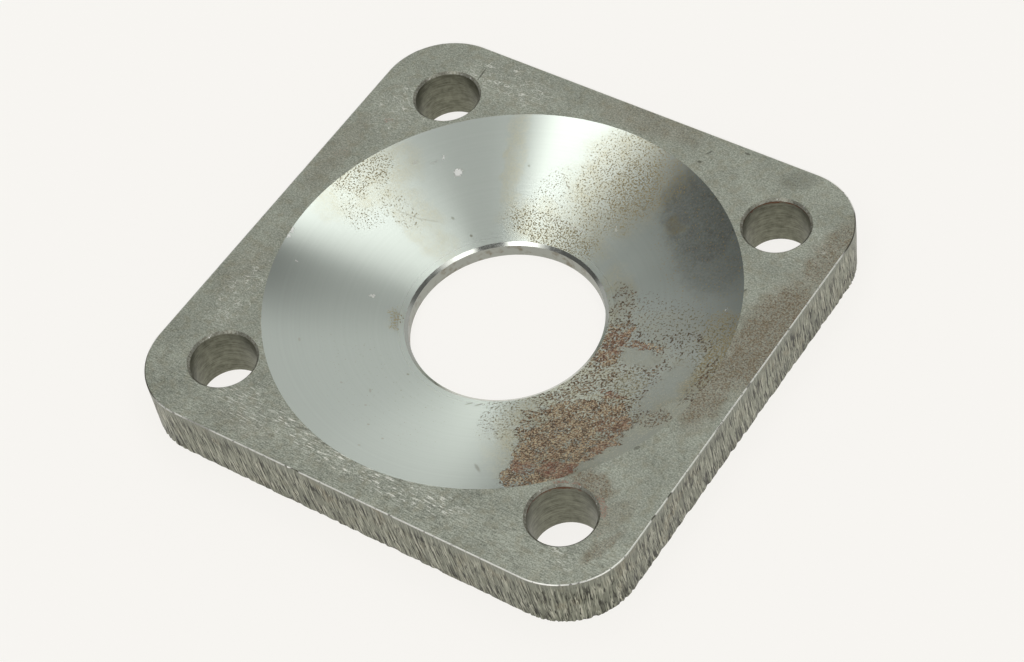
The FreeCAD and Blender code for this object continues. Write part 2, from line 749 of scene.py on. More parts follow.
@dataclass(frozen=True)
class Patch:
    """An oval area that a mark covers evenly, fading out over its outer half."""

    x: float
    y: float
    long: float
    short: float
    turn_deg: float = 0.0
    strength: float = 1.0

    def lay(self, graph: Graph, place: Source) -> bpy.types.Node:
        """Adds the patch to a graph.

        Args:
            graph: The material's graph.
            place: The coordinates, in metres.

        Returns:
            The node whose value is the strength in the middle and 0 outside.
        """
        here = graph.add("Mapping", {
            "Vector": place,
            "Location": (self.x * MM, self.y * MM, 0),
            "Rotation": (0, 0, math.radians(self.turn_deg)),
            "Scale": (self.long * MM, self.short * MM, ENDLESS),
        }, vector_type="TEXTURE")
        ball = graph.add("TexGradient", {0: here}, gradient_type="SPHERICAL")
        return graph.add("MapRange", {
            "Value": ball.outputs[1], "From Max": 0.5, "To Max": self.strength,
        }, interpolation_type="SMOOTHSTEP")


def spread(graph: Graph, place: Source, patches: tuple[Patch, ...]) -> bpy.types.Node:
    """Joins patches into one cover.

    Args:
        graph: The material's graph.
        place: The coordinates, in metres.
        patches: The patches, at least one.

    Returns:
        The node with the strongest patch at each point.
    """
    cover = patches[0].lay(graph, place)
    for patch in patches[1:]:
        cover = graph.add("Math", {0: cover, 1: patch.lay(graph, place)}, operation="MAXIMUM")
    return cover


def grain(
    graph: Graph, place: Source, size_mm: float, detail: float, seed: float, flat: bool = True
) -> bpy.types.Node:
    """Cloudy noise.

    In the photo's view a pixel is 0.16 mm wide. Grit and fine scratches are thinner than that,
    so they are drawn from 0.22 mm up, as coarse as it takes for them to show.

    Args:
        graph: The material's graph.
        place: The coordinates, in metres.
        size_mm: The size of one cloud.
        detail: How many finer layers there are.
        seed: Another value gives another part of the pattern.
        flat: Whether the pattern is the same at every height.

    Returns:
        The noise node, whose value lies round 0.5.
    """
    step = tuple(seed * part for part in SEED_STEP)
    moved = graph.add("VectorMath", {0: place, 1: step}, operation="ADD")
    return graph.add("TexNoise", {
        "Vector": moved, "Scale": per_mm(size_mm), "Detail": detail, "Roughness": 0.6,
    }, noise_dimensions="2D" if flat else "3D")


def wander(graph: Graph, place: Source, size_mm: float, reach_mm: float) -> bpy.types.Node:
    """Shifts coordinates to and fro, so that straight borders become ragged.

    Args:
        graph: The material's graph.
        place: The coordinates, in metres.
        size_mm: The size of one waver.
        reach_mm: How far the coordinates move.

    Returns:
        The node with the shifted coordinates.
    """
    cloud = graph.add("TexNoise", {
        "Vector": place, "Scale": per_mm(size_mm), "Detail": 2.0,
    }, noise_dimensions="2D")
    centred = graph.add("VectorMath", {0: cloud.outputs[1], 1: (0.5, 0.5, 0.5)}, operation="SUBTRACT")
    step = graph.add("VectorMath", {0: centred, "Scale": 2 * reach_mm * MM}, operation="SCALE")
    return graph.add("VectorMath", {0: place, 1: step}, operation="ADD")


def speckle(graph: Graph, cover: Source, noise_value: Source, softness: float) -> bpy.types.Node:
    """Turns a cover into separate specks that crowd together where it is strong.

    Args:
        graph: The material's graph.
        cover: 0 for no specks, 1 for a closed crust.
        noise_value: The noise whose peaks become the specks.
        softness: Width of a speck's border, as a share of the noise.

    Returns:
        The node with the specks' mask.
    """
    score = {0: cover, 1: COVER_WEIGHT, 2: noise_value}
    score = graph.add("Math", score, operation="MULTIPLY_ADD")
    return graph.add("MapRange", {
        "Value": score, "From Min": SPECK_LEVEL, "From Max": SPECK_LEVEL + softness,
    }, interpolation_type="SMOOTHSTEP")


def hairlines(graph: Graph, noise_value: Source, level: float, width: float) -> bpy.types.Node:
    """Draws the contour lines of a noise: thin lines that run with its stretch.

    Args:
        graph: The material's graph.
        noise_value: The noise.
        level: The value of the noise along the lines.
        width: Half the width of a line, as a share of the noise.

    Returns:
        The node with 1 on the lines and 0 beside them.
    """
    away = graph.add("Math", {0: noise_value, 1: level}, operation="SUBTRACT")
    away = graph.add("Math", {0: away}, operation="ABSOLUTE")
    return graph.add("MapRange", {
        "Value": away, "From Min": width, "From Max": width * HAIRLINE_CORE,
    }, interpolation_type="SMOOTHSTEP")


@dataclass(frozen=True)
class Finish:
    """A surface finish that becomes one material."""

    sizes: FlangeSizes
    name: str

    def start(self) -> tuple[bpy.types.Material, Graph, bpy.types.NodeSocket]:
        """Makes the material with its empty graph.

        Returns:
            The material, its graph and the object coordinates.
        """
        material = bpy.data.materials.new(self.name)
        material.use_nodes = True
        graph = Graph(material.node_tree)
        return material, graph, graph.add("TexCoord").outputs["Object"]

    def make(self) -> bpy.types.Material:
        """Makes the material.

        Returns:
            The material, ready for the faces of its zone.
        """
        raise NotImplementedError


@dataclass(frozen=True)
class MillFace(Finish):
    """Pickled mill plate: an even olive grey matt sheen, finely scratched, brown in places.

    Pickling takes the rolling skin off and leaves the steel dull, so nothing is mirrored in it.
    Blooms are brown, reds are rust, soots are dark smudges and specks, and the scratch
    highlights are painted near-white highlights on fresh scratches. Along the front edge the face
    was rubbed along the side, and its scratches there carry most of these painted highlights.
    """

    name: str = "pickled_mill_face"
    steel: str = "B6BAAC"
    shade: str = "7A7E73"
    olive: str = "8C8770"
    bloom: str = "857358"
    bloom_dark: str = "5A4A34"
    rust: str = "8F6450"
    soot: str = "5A5A50"
    scratch: str = "DEDED4"
    rough: float = 0.5
    rough_swing: float = 0.1
    rough_scratch: float = 0.36
    rubbed_from_y: float = -24.0
    rubbed_all_y: float = -37.0
    scratch_turn_deg: float = 62.0
    blooms: tuple[Patch, ...] = (
        Patch(42.6, 12, 17.5, 6.8, 90, 0.66),
        Patch(43.6, 31, 12, 4.4, 85, 0.58),
        Patch(40.0, -1, 12, 4.8, 95, 0.62),
        Patch(2, 42.8, 14, 4.0, 0, 0.42),
        Patch(39.5, -29, 6, 2.6, 70, 0.35),
        Patch(33.5, -25.4, 5.5, 3.0, -10, 0.62),
        Patch(41, -34.5, 5.5, 1.6, 75, 0.5),
        Patch(-42, 13, 12, 3.4, 90, 0.3),
        Patch(-41, -15, 8, 4.0, 80, 0.2),
        Patch(-22, -41.5, 8, 2.4, 0, 0.2),
    )
    reds: tuple[Patch, ...] = (
        Patch(-38.3, 23.1, 1.5, 1.2, 20, 0.7),
        Patch(-41.5, 13.5, 1.5, 1.2, 0, 0.5),
        Patch(30.5, -27.0, 4.2, 1.0, 20, 0.8),
        Patch(36.6, -28.2, 3.6, 0.9, -40, 0.75),
        Patch(39.0, -32.5, 3.0, 0.8, 80, 0.5),
    )
    soots: tuple[Patch, ...] = (
        Patch(14.2, 38.7, 0.5, 0.3, 0, 0.8),
        Patch(14.6, 41.2, 1.0, 0.24, 60, 0.6),
        Patch(20.4, 43.8, 0.7, 0.3, 0, 0.7),
        Patch(-29.8, 39.3, 2.1, 0.2, 95, 0.7),
        Patch(34.8, 18.2, 0.5, 0.25, 65, 0.7),
        Patch(35.9, -16.4, 0.7, 0.4, 60, 0.6),
        Patch(31, 42.5, 4.5, 2.6, 30, 0.25),
        Patch(-12, -37.6, 2.4, 0.35, 12, 0.4),
        Patch(-7, -38.4, 2.0, 0.3, 6, 0.5),
    )
    # Where fresh scratches carry painted near-white highlights.
    glints: tuple[Patch, ...] = (
        Patch(-13.0, -38.6, 9.0, 2.6, -12, 1.0),
        Patch(-3.0, -39.8, 12.0, 2.6, -2, 1.0),
        Patch(10.0, -40.2, 14.0, 3.0, 4, 0.9),
        Patch(-26.0, -37.0, 12.0, 5.0, -30, 0.7),
        Patch(-38.0, -20.0, 10.0, 5.0, 90, 0.7),
        Patch(-38.0, 26.0, 8.0, 6.0, 90, 0.7),
        Patch(-24.0, 40.0, 12.0, 5.0, 0, 0.7),
        Patch(36.0, -38.6, 4.0, 2.0, -30, 0.7),
        Patch(38.0, 30.0, 8.0, 8.0, 0, 0.3),
    )

    def make(self) -> bpy.types.Material:
        """Makes the material.

        Returns:
            The finished material.
        """
        material, graph, place = self.start()
        near = wander(graph, place, 2.0, 1.3)
        clouds = grain(graph, place, 6.0, detail=3.0, seed=1.0)
        fine = grain(graph, place, 0.26, detail=3.0, seed=2.0)
        brushed = graph.add("Mapping", {"Vector": place, "Scale": (0.16, 1.0, 1.0)})
        strokes = grain(graph, brushed, 0.22, detail=2.0, seed=3.0)
        crossed = graph.add("Mapping", {
            "Vector": place, "Rotation": (0, 0, math.radians(self.scratch_turn_deg)),
            "Scale": (0.4, 1.0, 1.0),
        })
        hairs = grain(graph, crossed, 0.28, detail=1.0, seed=4.0)
        # The lowest band of the face was rubbed along the side, the rest in all directions.
        axes = graph.add("SeparateXYZ", {0: place}).outputs
        rubbed = graph.add("MapRange", {
            "Value": axes[1], "From Min": self.rubbed_from_y * MM, "From Max": self.rubbed_all_y * MM,
            "To Min": 0.1, "To Max": 0.8,
        }, interpolation_type="SMOOTHSTEP")
        lines = graph.add("MixRGB", {0: rubbed, 1: hairs, 2: strokes})
        lined = graph.add("MapRange", {"Value": rubbed, "To Min": 0.3, "To Max": 0.5})
        tone = graph.add("MixRGB", {0: lined, 1: fine, 2: lines})
        lit = graph.add("MixRGB", {0: 0.22, 1: tone, 2: clouds})
        harder = graph.add("MapRange", {"Value": rubbed, "To Min": 0.29, "To Max": 0.38})
        softer = graph.add("MapRange", {"Value": rubbed, "To Min": 0.72, "To Max": 0.62})
        lit = graph.add("MapRange", {"Value": lit, "From Min": harder, "From Max": softer})
        colour = graph.add("MixRGB", {0: lit, 1: linear(self.shade), 2: linear(self.steel)})
        tinted_noise = grain(graph, place, 1.7, detail=4.0, seed=2.5)
        tinted = graph.add("MapRange", {
            "Value": tinted_noise, "From Min": 0.48, "From Max": 0.68, "To Max": 0.3,
        })
        colour = graph.add("MixRGB", {0: tinted, 1: colour, 2: linear(self.olive)})

        # The marks lie on the face that was open to the air, not on the underside.
        open_air = graph.add("MapRange", {
            "Value": axes[2], "From Min": self.sizes.thickness / 4 * MM,
            "From Max": self.sizes.thickness / 2 * MM,
        })
        laid = ((near, self.blooms), (near, self.reds), (place, self.soots), (near, self.glints))
        cover, reds, soots, worn = (
            graph.add("Math", {0: spread(graph, at, marks), 1: open_air}, operation="MULTIPLY")
            for at, marks in laid
        )
        sandy = graph.add("MixRGB", {
            0: 0.25, 1: grain(graph, place, 0.4, detail=2.0, seed=2.7), 2: tinted_noise,
        })
        grains = speckle(graph, cover, sandy, 0.1)
        thin = graph.add("Math", {0: cover, 1: 0.52}, operation="MULTIPLY")
        bloom = {0: grains, 1: 0.42, 2: thin}
        bloom = graph.add("Math", bloom, operation="MULTIPLY_ADD", use_clamp=True)
        brown = graph.add("MapRange", {"Value": fine, "From Min": 0.42, "From Max": 0.6})
        brown = graph.add("MixRGB", {0: brown, 1: linear(self.bloom_dark), 2: linear(self.bloom)})
        colour = graph.add("MixRGB", {0: bloom, 1: colour, 2: brown})
        reds = speckle(graph, reds, fine, 0.3)
        colour = graph.add("MixRGB", {0: reds, 1: colour, 2: linear(self.rust)})
        colour = graph.add("MixRGB", {0: soots, 1: colour, 2: linear(self.soot)})
        # Fresh scratches with painted highlights: short near-white strokes where the face was rubbed,
        # thin hairs elsewhere.
        struck = grain(graph, brushed, 0.3, detail=2.0, seed=5.0)
        crossing = hairlines(graph, grain(graph, crossed, 1.6, detail=2.0, seed=6.0), 0.5, 0.012)
        struck = graph.add("MapRange", {"Value": struck, "From Min": 0.6, "From Max": 0.68})
        struck = graph.add("MixRGB", {0: rubbed, 1: crossing, 2: struck})
        glints = graph.add("Math", {0: worn, 1: struck}, operation="MULTIPLY")
        colour = graph.add("MixRGB", {0: glints, 1: colour, 2: linear(self.scratch)})

        dull = graph.add("Math", {0: bloom, 1: reds}, operation="MAXIMUM")
        rough = graph.add("MapRange", {
            "Value": tone, "From Min": 0.35, "From Max": 0.65,
            "To Min": self.rough + self.rough_swing, "To Max": self.rough - self.rough_swing,
        })
        rough = graph.add("MixRGB", {0: glints, 1: rough, 2: (*[self.rough_scratch] * 3, 1)})
        metal = graph.add("MapRange", {"Value": dull, "To Min": 1.0, "To Max": 0.3})
        relief = graph.add("Bump", {"Height": tone, "Strength": 0.5, "Distance": 0.04 * MM})
        shader = graph.add("BsdfPrincipled", {
            "Base Color": colour, "Metallic": metal, "Roughness": rough, "Normal": relief,
        })
        graph.add("OutputMaterial", {"Surface": shader})
        return material


@dataclass(frozen=True)
class TurnedSeat(Finish):
    """Freshly turned steel with rust: ring grooves draw each lamp out into a ray from the middle.

    The gloss is anisotropic about the axis, as on all turned metal, so the seat shows bright and
    dark rays in place of the lamps. On it lie the crust of rust, less its clean places and with
    its reds, thin brown films, dark flecks, fine sands, single dark dots and smears, and chalky
    nicks. Grey soots are partly smudges and partly painted shade that deepens the dark ray at the
    back right. Pale dull grey is painted between the rust and the rim in place of a lighter
    reflection. The two nicks at the rim on the left are painted highlights of burrs.
    """

    name: str = "turned_seat_with_rust"
    steel: str = "D8E0D7"
    bloom: str = "CBBE90"
    fleck: str = "625C46"
    sand: str = "837650"
    rust_brown: str = "886C50"
    rust_light: str = "BFB394"
    rust_red: str = "7A4C40"
    rust_dark: str = "4E4134"
    # Grey of the smudges, and of the painted shade in the dark ray at the back right.
    soot: str = "5E5A52"
    chalk: str = "FFFFFA"
    haze: str = "BCC2B6"
    rough_rim: float = 0.13
    rough_foot: float = 0.28
    rough_fouled: float = 0.6
    fouled_rim: float = 0.27
    fouled_foot: float = 0.39
    ring_pitch: float = 0.5
    border_normal: tuple[float, float, float] = (0.913, 0.409, 0)
    border_start: float = 5.0
    border_full: float = 6.6
    speck_cover: float = 0.85
    crust: tuple[Patch, ...] = (
        Patch(24.6, -13.8, 12.0, 9.0, -8, 0.84),
        Patch(23.6, -20.0, 12.0, 10.5, -72, 0.84),
        Patch(23.5, -25.5, 9.5, 8.0, -20, 0.84),
        Patch(22.0, -30.0, 6.5, 6.0, 40, 0.80),
        Patch(30.8, -18.6, 4.0, 3.6, 0, 0.80),
        Patch(16.8, -18.8, 9.5, 9.5, 0, 0.72),
        Patch(14.5, -12.5, 7.0, 6.0, 0, 0.62),
        Patch(20.0, -7.5, 10.5, 8.0, 80, 0.64),
        Patch(18.4, 2.6, 8.4, 5.0, 100, 0.80),
        Patch(23.2, 3.7, 7.2, 2.4, 3, 0.70),
        Patch(24.8, -6.4, 5.0, 2.6, 0, 0.76),
        Patch(16.0, 9.8, 8.5, 4.0, 118, 0.60),
        Patch(33.8, -9.4, 5.2, 3.8, 0, 0.62),
        Patch(26.5, 5.0, 15.0, 5.0, 12, 0.56),
        Patch(27.5, -3.5, 14.0, 9.0, -60, 0.60),
        Patch(37.6, -1.0, 9.0, 3.2, 80, 0.60),
        Patch(-15.6, -8.6, 4.2, 1.8, -62, 0.62),
    )
    clean: tuple[Patch, ...] = (
        Patch(25.2, 1.6, 4.6, 1.8, -5, 0.5),
        Patch(33.8, -3.0, 6.5, 3.2, 75, 0.5),
        Patch(27.0, -4.0, 4.0, 3.0, 0, 0.25),
        Patch(34.0, -20.0, 10.0, 3.4, 62, 0.5),
        Patch(13.8, -13.9, 1.6, 1.3, 0, 0.5),
        Patch(28.5, -16.0, 2.4, 1.4, 20, 0.2),
        Patch(22.0, -7.8, 4.4, 0.9, 45, 0.3),
    )
    reds: tuple[Patch, ...] = (
        Patch(18.8, 3.2, 6.0, 3.5, 100, 0.7),
        Patch(22.8, 3.9, 4.0, 1.6, 0, 0.9),
        Patch(24.6, -6.3, 3.5, 1.6, 0, 1.0),
        Patch(27.5, -25.0, 6.0, 2.4, 10, 1.0),
        Patch(21.5, -27.0, 3.0, 2.0, 0, 1.0),
        Patch(23.0, -22.0, 5.0, 2.4, 0, 0.35),
        Patch(29.5, -13.5, 4.5, 3.5, 0, 0.7),
        Patch(30.8, -18.5, 2.6, 2.6, 0, 0.7),
        Patch(20.5, -12.0, 6.5, 3.5, 0, 0.25),
    )
    films: tuple[Patch, ...] = (
        Patch(25.0, 4.0, 18.0, 10.0, 15, 0.5),
        Patch(20.0, -7.0, 13.0, 11.0, 0, 0.8),
        Patch(23.0, -17.0, 20.0, 16.0, -60, 0.9),
        Patch(38.2, 1.0, 16.0, 4.6, 90, 1.0),
        Patch(36.0, 9.0, 7.0, 5.0, 110, 0.9),
        Patch(36.5, -8.5, 8.0, 5.5, 60, 0.9),
        Patch(14.5, 11.5, 10.0, 4.5, 125, 0.7),
        Patch(4.0, 31.0, 16.0, 12.5, 80, 0.7),
        Patch(-2.0, 18.8, 14.0, 6.4, 0, 0.6),
        Patch(-34.5, 11.0, 14.0, 8.0, 70, 0.6),
        Patch(-16.0, 29.0, 16.0, 2.6, -68, 0.6),
        Patch(-24.0, 10.0, 14.0, 5.0, -22, 0.5),
        Patch(10.0, 34.0, 8.0, 7.0, -40, 0.7),
        Patch(-15.8, -8.6, 4.6, 2.4, -62, 0.25),
        Patch(16.5, 26.5, 3.0, 2.2, 10, 1.0),
    )
    flecks: tuple[Patch, ...] = (
        Patch(25.0, 3.0, 20.0, 16.0, 20, 0.50),
        Patch(28.0, -8.0, 15.0, 13.0, -30, 0.52),
        Patch(21.0, 8.0, 14.0, 9.0, -10, 0.48),
        Patch(27.0, -4.0, 9.0, 8.0, 0, 0.58),
        Patch(36.5, 4.0, 14.0, 6.0, 90, 0.56),
        Patch(33.5, -13.0, 6.0, 2.4, 60, 0.50),
        Patch(-8.0, -24.0, 24.0, 12.0, -20, 0.26),
        Patch(10.5, -18.0, 9.0, 5.0, -65, 0.50),
    )
    sands: tuple[Patch, ...] = (
        Patch(4.0, 31.0, 16.0, 13.0, 80, 0.50),
        Patch(6.0, 30.5, 9.0, 7.0, 80, 0.58),
        Patch(-3.0, 18.6, 13.0, 4.8, 0, 0.58),
        Patch(-6.0, 22.0, 6.0, 12.0, 0, 0.44),
        Patch(-35.4, 11.4, 9.0, 5.0, 70, 0.55),
        Patch(-31.4, 4.8, 6.0, 4.2, 20, 0.46),
        Patch(-27.5, 9.5, 8.0, 4.0, -22, 0.42),
        Patch(10.0, 33.0, 8.0, 7.0, 0, 0.50),
        Patch(-16.2, -8.6, 3.4, 1.6, -62, 0.60),
        Patch(24.0, 25.0, 26.0, 14.0, -45, 0.38),
        Patch(37.4, 1.0, 18.0, 3.6, 88, 0.60),
        Patch(35.4, 9.0, 8.0, 6.0, 110, 0.50),
        Patch(34.6, -10.5, 9.0, 4.5, 65, 0.56),
        Patch(22.0, -12.0, 26.0, 20.0, -50, 0.46),
    )
    # Where pale grey is painted in place of the metal's lighter reflection.
    hazes: tuple[Patch, ...] = (
        Patch(35.4, -12.6, 15.0, 4.4, 69, 0.6),
        Patch(33.2, -4.0, 8.0, 4.0, 80, 0.4),
        Patch(32.4, -19.4, 8.5, 3.2, 56, 0.5),
        Patch(25.2, 1.6, 4.6, 2.2, -5, 0.45),
    )
    # Grey smudges in the seat's dark ray at the back right: partly smudges, partly painted shade that
    # deepens the ray.
    soots: tuple[Patch, ...] = (
        Patch(20.0, 28.5, 14.0, 8.0, -42, 0.9),
        Patch(16.0, 32.5, 8.0, 5.0, -30, 0.5),
        Patch(26.0, 23.0, 12.0, 8.0, -48, 0.6),
    )
    dots: tuple[Patch, ...] = (
        Patch(-14.8, 12.0, 0.32, 0.28, 0, 0.7),
        Patch(-19.0, 13.0, 0.4, 0.3, 0, 0.5),
        Patch(-12.6, 27.2, 0.3, 0.25, 0, 0.5),
        Patch(-7.6, -17.3, 0.28, 0.24, 0, 0.7),
        Patch(-9.8, -24.2, 0.6, 0.24, -50, 0.4),
        Patch(-8.3, -27.4, 0.3, 0.25, 0, 0.4),
        Patch(-5.2, -30.8, 0.3, 0.25, 0, 0.5),
        Patch(-1.4, -32.2, 0.3, 0.25, 0, 0.5),
        Patch(-3.3, -35.6, 0.35, 0.25, 0, 0.4),
        Patch(-24.8, -22.3, 0.5, 0.24, -50, 0.4),
        Patch(-14.3, -25.6, 0.3, 0.25, 0, 0.4),
        Patch(15.3, -30.2, 1.5, 0.35, -35, 0.4),
        Patch(5.9, -16.9, 1.0, 0.25, 60, 0.5),
        Patch(4.4, -17.5, 0.9, 0.22, 60, 0.5),
        Patch(4.7, 24.4, 0.35, 0.25, 0, 0.7),
        Patch(9.8, 27.7, 0.4, 0.3, 0, 0.4),
        Patch(-25.2, 9.4, 3.2, 0.16, 12, 0.2),
        Patch(-22.0, 10.5, 2.6, 0.16, 24, 0.2),
        Patch(17.0, 12.2, 0.4, 0.25, 0, 0.6),
    )
    nicks: tuple[Patch, ...] = (
        Patch(-22.5, 20.4, 1.1, 0.8, 70, 0.9),
        Patch(-26.0, 21.4, 0.5, 0.24, -60, 0.9),
        Patch(-29.5, 18.0, 0.9, 0.28, 60, 0.5),
        Patch(-26.9, 19.8, 1.0, 0.28, 60, 0.3),
        Patch(-21.5, -7.2, 0.7, 0.45, 30, 0.7),
        Patch(-34.5, -9.4, 0.4, 0.26, 0, 0.5),
        Patch(7.0, 23.2, 0.8, 0.16, -60, 0.6),
        Patch(33.8, 14.0, 0.3, 0.26, 0, 0.6),
        # These two at the rim on the left are painted highlights of burrs.
        Patch(-38.6, -4.8, 0.8, 0.34, -70, 0.9),
        Patch(-38.4, -6.2, 0.4, 0.34, 0, 0.9),
        Patch(-1.0, 20.9, 5.0, 0.15, 0, 0.5),
    )

    def make(self) -> bpy.types.Material:
        """Makes the material.

        Returns:
            The finished material.
        """
        material, graph, place = self.start()
        flat = graph.add("VectorMath", {0: place, 1: (1, 1, 0)}, operation="MULTIPLY")
        radius = graph.add("VectorMath", {0: flat}, operation="LENGTH").outputs[1]
        near = wander(graph, wander(graph, place, 3.0, 1.6), 0.8, 0.4)
        fine = grain(graph, place, 0.4, detail=2.0, seed=5.0)
        coarse = grain(graph, place, 1.2, detail=3.0, seed=6.0)
        soft = grain(graph, place, 3.0, detail=3.0, seed=7.0)

        # Ring marks of the turning tool, a few of the real ones to each ring drawn.
        rings = graph.add("TexNoise", {
            "W": graph.add("Math", {0: radius, 1: per_mm(self.ring_pitch)}, operation="MULTIPLY"),
            "Scale": 1.0, "Detail": 2.0,
        }, noise_dimensions="1D")
        ringed = graph.add("MapRange", {
            "Value": rings, "From Min": 0.3, "From Max": 0.7, "To Min": 0.985, "To Max": 1.012,
        })
        steel = linear(self.steel)[:3]
        colour = graph.add("VectorMath", {0: steel, "Scale": ringed}, operation="SCALE")

        film = graph.add("Math", {0: spread(graph, near, self.films), 1: soft}, operation="MULTIPLY")
        film = graph.add("Math", {0: film, 1: fine}, operation="MULTIPLY")
        film = graph.add("MapRange", {"Value": film, "From Min": 0.03, "From Max": 0.4, "To Max": 0.6})
        colour = graph.add("MixRGB", {0: film, 1: colour, 2: linear(self.bloom)})
        mottled = graph.add("MixRGB", {0: 0.55, 1: coarse, 2: fine})
        # Grey smudges, partly painted shade that makes the dark ray at the back right darker.
        soots = spread(graph, near, self.soots)
        soots = graph.add("Math", {0: soots, 1: mottled}, operation="MULTIPLY")
        soots = graph.add("MapRange", {
            "Value": soots, "From Min": 0.1, "From Max": 0.7, "To Max": 0.6,
        })
        colour = graph.add("MixRGB", {0: soots, 1: colour, 2: linear(self.soot)})

        flecks = speckle(graph, spread(graph, near, self.flecks), fine, 0.1)
        sandy = grain(graph, place, 0.3, detail=1.0, seed=5.7)
        sandy = graph.add("MixRGB", {0: 0.2, 1: sandy, 2: coarse})
        sandy = speckle(graph, spread(graph, near, self.sands), sandy, 0.07)
        flecks = graph.add("Math", {0: flecks, 1: self.speck_cover}, operation="MULTIPLY")
        flecks = graph.add("Math", {
            0: flecks, 1: spread(graph, place, self.dots),
        }, operation="MAXIMUM")

        # Crust of rust, cut off along a straight border where the plate lay covered.
        side = graph.add("VectorMath", {0: near, 1: self.border_normal}, operation="DOT_PRODUCT")
        covered = graph.add("MapRange", {
            "Value": side.outputs[1], "From Min": self.border_start * MM,
            "From Max": self.border_full * MM,
        })
        crust = spread(graph, near, self.crust)
        crust = graph.add("Math", {0: crust, 1: covered}, operation="MULTIPLY")
        clean = spread(graph, near, self.clean)
        crust = graph.add("Math", {0: crust, 1: clean}, operation="SUBTRACT")
        patchy = graph.add("MapRange", {
            "Value": grain(graph, place, 2.6, detail=3.0, seed=9.4), "From Min": 0.35, "From Max": 0.6,
            "To Min": 0.86, "To Max": 1.1,
        })
        crust = graph.add("Math", {0: crust, 1: patchy}, operation="MULTIPLY")
        rusty = speckle(graph, crust, graph.add("MixRGB", {0: 0.3, 1: fine, 2: coarse}), 0.1)
        # Pinholes in the crust.
        gaps = grain(graph, place, 0.3, detail=2.0, seed=6.6)
        gaps = graph.add("MapRange", {"Value": gaps, "From Min": 0.68, "From Max": 0.6})
        rusty = graph.add("Math", {0: rusty, 1: gaps}, operation="MULTIPLY")

        gritty = graph.add("MixRGB", {
            0: 0.35, 1: grain(graph, place, 0.34, detail=2.0, seed=8.0),
            2: grain(graph, place, 1.5, detail=4.0, seed=8.3),
        })
        shades = graph.add("ValToRGB", {0: gritty})
        ramp = shades.color_ramp
        ramp.elements[0].position = 0.42
        ramp.elements[0].color = linear(self.rust_dark)
        ramp.elements[1].position = 0.62
        ramp.elements[1].color = linear(self.rust_light)
        ramp.elements.new(0.5).color = linear(self.rust_brown)
        redder = spread(graph, near, self.reds)
        redder = graph.add("Math", {0: redder, 1: coarse}, operation="MULTIPLY")
        redder = graph.add("MapRange", {
            "Value": redder, "From Min": 0.15, "From Max": 0.6, "To Max": 0.55,
        })
        rust = graph.add("MixRGB", {0: redder, 1: shades, 2: linear(self.rust_red)})
        fleck = graph.add("MixRGB", {0: sandy, 1: linear(self.fleck), 2: linear(self.sand)})
        # Single specks are dark, the closed crust shows all its colours.
        thick = graph.add("MapRange", {
            "Value": crust, "From Min": 0.6, "From Max": 0.76, "To Min": 0.12,
        })
        rust = graph.add("MixRGB", {0: thick, 1: linear(self.rust_dark), 2: rust})
        fleck = graph.add("MixRGB", {0: rusty, 1: fleck, 2: rust})
        # Chalky nicks in white; at the rim on the left they are painted highlights of burrs.
        nicks = spread(graph, wander(graph, place, 0.4, 0.5), self.nicks)
        fleck = graph.add("MixRGB", {0: nicks, 1: fleck, 2: linear(self.chalk)})
        # Between the rust and the rim, pale dull grey is painted over the metal in place of a lighter
        # reflection: a painted reflection.
        hazes = spread(graph, near, self.hazes)
        hidden = graph.add("Math", {0: rusty, 1: nicks}, operation="MAXIMUM")
        bare = graph.add("Math", {0: 1.0, 1: hidden}, operation="SUBTRACT")
        pale = graph.add("Math", {0: hazes, 1: bare}, operation="MULTIPLY")
        fleck = graph.add("MixRGB", {0: pale, 1: fleck, 2: linear(self.haze)})

        # Towards the bore the grooves are fouled: a dull sheen lies over the rays there.
        reach = graph.add("MapRange", {
            "Value": radius, "From Min": self.sizes.lip_radius * MM,
            "From Max": self.sizes.seat_radius * MM,
        })
        rough = graph.add("MapRange", {
            "Value": reach, "To Min": self.rough_foot, "To Max": self.rough_rim,
        })
        fouled = graph.add("MapRange", {
            "Value": reach, "To Min": self.fouled_foot, "To Max": self.fouled_rim,
        })
        fouled = {0: film, 1: 0.3, 2: fouled}
        fouled = graph.add("Math", fouled, operation="MULTIPLY_ADD", use_clamp=True)
        turned = graph.add("BsdfPrincipled", {
            "Base Color": colour, "Metallic": 1.0, "Roughness": rough, "Anisotropic": 1.0,
            "Tangent": flat,
        })
        sheen = graph.add("BsdfPrincipled", {
            "Base Color": colour, "Metallic": 1.0, "Roughness": self.rough_fouled, "Anisotropic": 1.0,
            "Tangent": flat,
        })
        steel = graph.add("MixShader", {0: fouled, 1: turned, 2: sheen})
        lumps = graph.add("Bump", {"Height": fine, "Strength": 0.5, "Distance": 0.06 * MM})
        crusted = graph.add("BsdfPrincipled", {
            "Base Color": fleck, "Roughness": 0.8, "Normal": lumps,
        })
        over = rusty
        sandy = graph.add("Math", {0: sandy, 1: self.speck_cover}, operation="MULTIPLY")
        for mark in (flecks, sandy, nicks, hazes):
            over = graph.add("Math", {0: over, 1: mark}, operation="MAXIMUM")
        mix = graph.add("MixShader", {0: over, 1: steel, 2: crusted})
        graph.add("OutputMaterial", {"Surface": mix})
        return material


@dataclass(frozen=True)
class TurnedEdge(Finish):
    """Smooth turned steel, such as the lip of the bore, that mirrors the lamps in short glints."""

    name: str = "turned_lip"
    steel: str = "C9CCC4"
    rough: float = 0.16

    def make(self) -> bpy.types.Material:
        """Makes the material.

        Returns:
            The finished material.
        """
        material, graph, place = self.start()
        tone = grain(graph, place, 1.5, detail=2.0, seed=9.0, flat=False)
        rough = graph.add("MapRange", {
            "Value": tone, "From Min": 0.3, "From Max": 0.7, "To Min": self.rough * 0.7,
            "To Max": self.rough * 1.4,
        })
        shader = graph.add("BsdfPrincipled", {
            "Base Color": linear(self.steel), "Metallic": 1.0, "Roughness": rough,
        })
        graph.add("OutputMaterial", {"Surface": shader})
        return material


